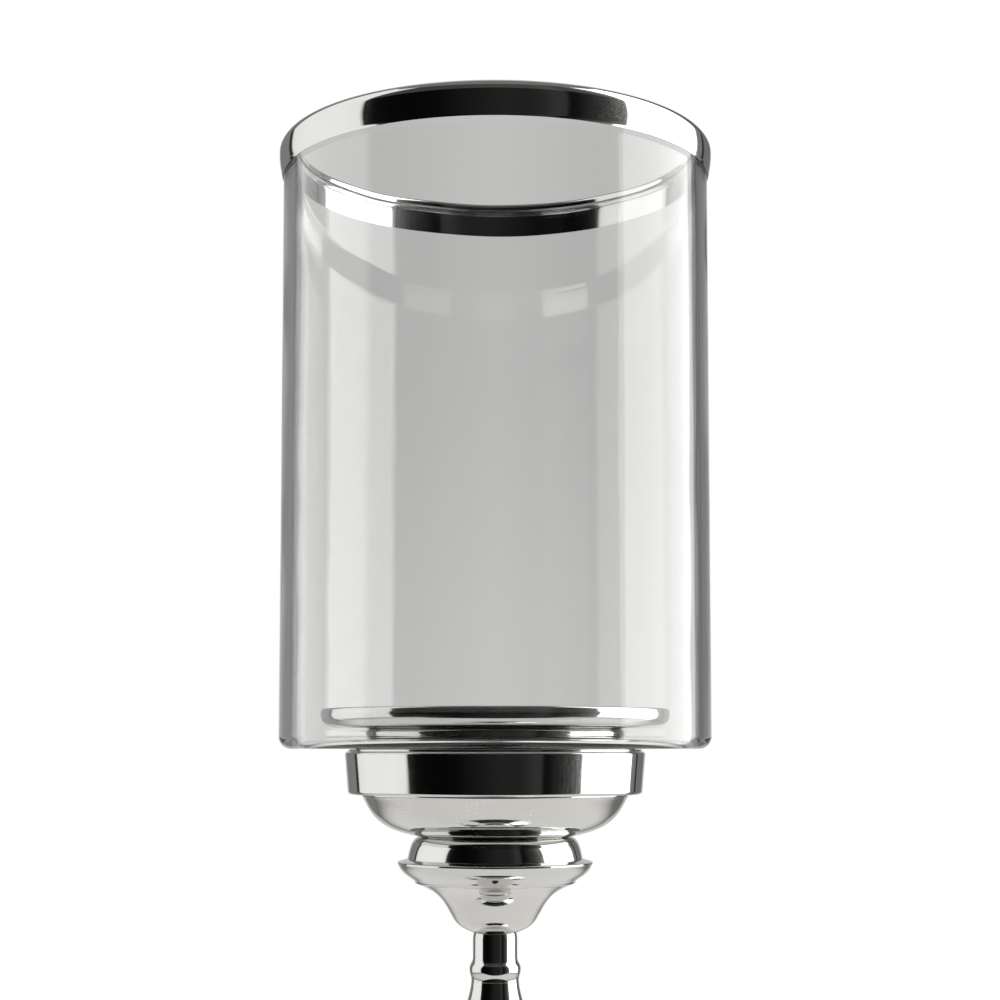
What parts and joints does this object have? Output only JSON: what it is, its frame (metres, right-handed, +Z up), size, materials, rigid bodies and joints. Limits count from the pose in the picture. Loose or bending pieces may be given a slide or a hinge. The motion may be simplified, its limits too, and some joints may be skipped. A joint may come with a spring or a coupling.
{
  "type": "hurricane candle lantern",
  "caption": "Tall hurricane candle lantern: open glass cylinder with a nickel rim collar, clamped by a dished candle plate on a turned nickel stand with a domed foot.",
  "frame": {"origin": "centre of the resting face, under the felt", "axes": "+Z up along the axis of the glass and the stem; the object is turned about it, so X and Y are free"},
  "size_m": [0.1852, 0.1852, 0.5574],
  "materials": {
    "clear_glass": "clear, fire-polished, very faintly wavy",
    "polished_nickel": "mirror-polished nickel plate with faint turning lines",
    "zinc_steel": "bright zinc plate",
    "black_rubber": "matte, moulded",
    "white_silicone": "translucent, moulded",
    "natural_nylon": "satin, moulded",
    "cast_iron": "black enamel over a sand-cast skin",
    "charcoal_felt": "pressed wool felt"
  },
  "bodies": {
    "stand": {"lower_gasket": "black_rubber", "centring_bush": "natural_nylon", "gallery_drum": "polished_nickel", "bowl": "polished_nickel", "stack_nut": "zinc_steel", "stack_washer": "zinc_steel", "half_round_knop": "polished_nickel", "ogee_cap": "polished_nickel", "neck_sleeve": "polished_nickel", "baluster": "polished_nickel", "stem_ring": "polished_nickel", "lower_knop": "polished_nickel", "foot_cove": "polished_nickel", "foot_dome": "polished_nickel", "base_weight": "cast_iron", "lock_washer": "zinc_steel", "base_nut": "zinc_steel", "threaded_rod": "zinc_steel", "felt_pad": "charcoal_felt"},
    "glass": {"glass_cylinder": "clear_glass"},
    "collar": {"rim_collar": "polished_nickel"},
    "plate": {"candle_plate": "polished_nickel", "plate_spacer": "polished_nickel", "upper_gasket": "white_silicone"},
    "nut_washer": {"captive_washer": "zinc_steel"},
    "nut": {"plate_nut": "zinc_steel"}
  },
  "joints": [
    {"name": "glass_lift", "type": "slide", "parent": "stand", "child": "glass", "axis": [0, 0, 1], "range_m": [0, 0.06]},
    {"name": "collar_lift", "type": "slide", "parent": "glass", "child": "collar", "axis": [0, 0, 1], "range_m": [0, 0.05]},
    {"name": "plate_lift", "type": "slide", "parent": "glass", "child": "plate", "axis": [0, 0, 1], "range_m": [0, 0.27]},
    {"name": "nut_rise", "type": "slide", "parent": "plate", "child": "nut_washer", "axis": [0, 0, 1], "range_m": [0, 0.0044]},
    {"name": "nut_turn", "type": "hinge", "parent": "nut_washer", "child": "nut", "pos_m": [0, 0, 0.3122], "axis": [0, 0, 1], "range_deg": [0, 1260]}
  ],
  "couplings": [
    {"joint": "nut_rise", "follows": "nut_turn", "m_per_rad": 0.00019894}
  ]
}
